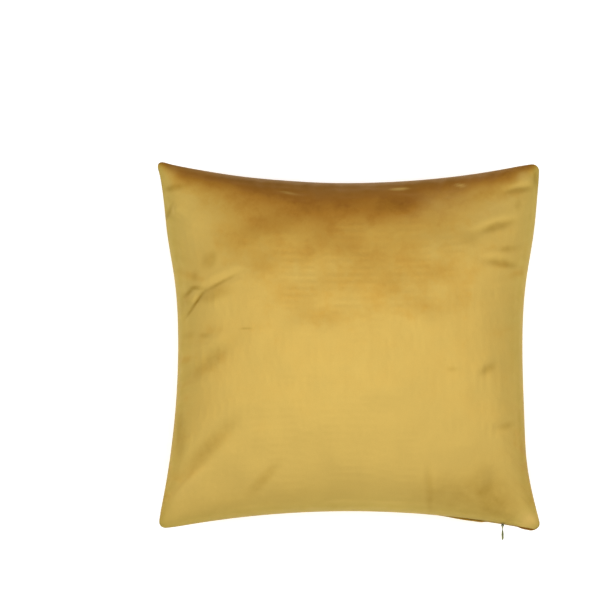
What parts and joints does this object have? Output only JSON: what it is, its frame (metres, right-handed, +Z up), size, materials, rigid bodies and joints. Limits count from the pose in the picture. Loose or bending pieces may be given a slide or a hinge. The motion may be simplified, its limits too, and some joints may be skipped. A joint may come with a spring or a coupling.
{
  "type": "throw pillow",
  "caption": "Square knife-edge throw pillow: a mustard velvet cover with an invisible zip in one seam, over a fibre-filled insert.",
  "frame": {"origin": "centre of the flat patch that the underside rests on", "axes": "+Z up, out of the front face; +X to the right and +Y to the top edge as the front face is seen; the zipped edge is at -Y"},
  "size_m": [0.4348, 0.4299, 0.1388],
  "materials": {
    "cover_velvet": "satin",
    "cover_thread": "matte",
    "zip_tape": "matte",
    "zip_coil": "satin",
    "zip_stop": "satin",
    "zip_slider": "satin",
    "insert_cloth": "matte",
    "insert_thread": "matte",
    "fibre_fill": "matte"
  },
  "bodies": {
    "cushion": {"cover_front_panel": "cover_velvet", "cover_back_panel": "cover_velvet", "cover_seam_stitching": "cover_thread", "cover_overlock_edging": "cover_thread", "zip_front_tape": "zip_tape", "zip_back_tape": "zip_tape", "zip_front_coil": "zip_coil", "zip_back_coil": "zip_coil", "zip_front_stitching": "cover_thread", "zip_back_stitching": "cover_thread", "zip_top_stops": "zip_stop", "zip_bottom_stop": "zip_stop", "zip_end_tacks": "cover_thread", "insert_front_panel": "insert_cloth", "insert_back_panel": "insert_cloth", "insert_seam_stitching": "insert_thread", "insert_closing_stitching": "insert_thread", "insert_fibre_fill": "fibre_fill"},
    "zip_slider": {"zip_slider_body": "zip_slider"},
    "pull_tab": {"zip_pull_tab": "zip_slider"}
  },
  "joints": [
    {"name": "slider_travel", "type": "hinge", "parent": "cushion", "child": "zip_slider", "pos_m": [0, -1.28504, 0.06], "axis": [0, 0, 1], "range_deg": [0, 18.18]},
    {"name": "pull_tab_swing", "type": "hinge", "parent": "zip_slider", "child": "pull_tab", "pos_m": [0.17424, -0.20476, 0.06], "axis": [0, 0, 1], "range_deg": [-93.5, 75.5]}
  ]
}
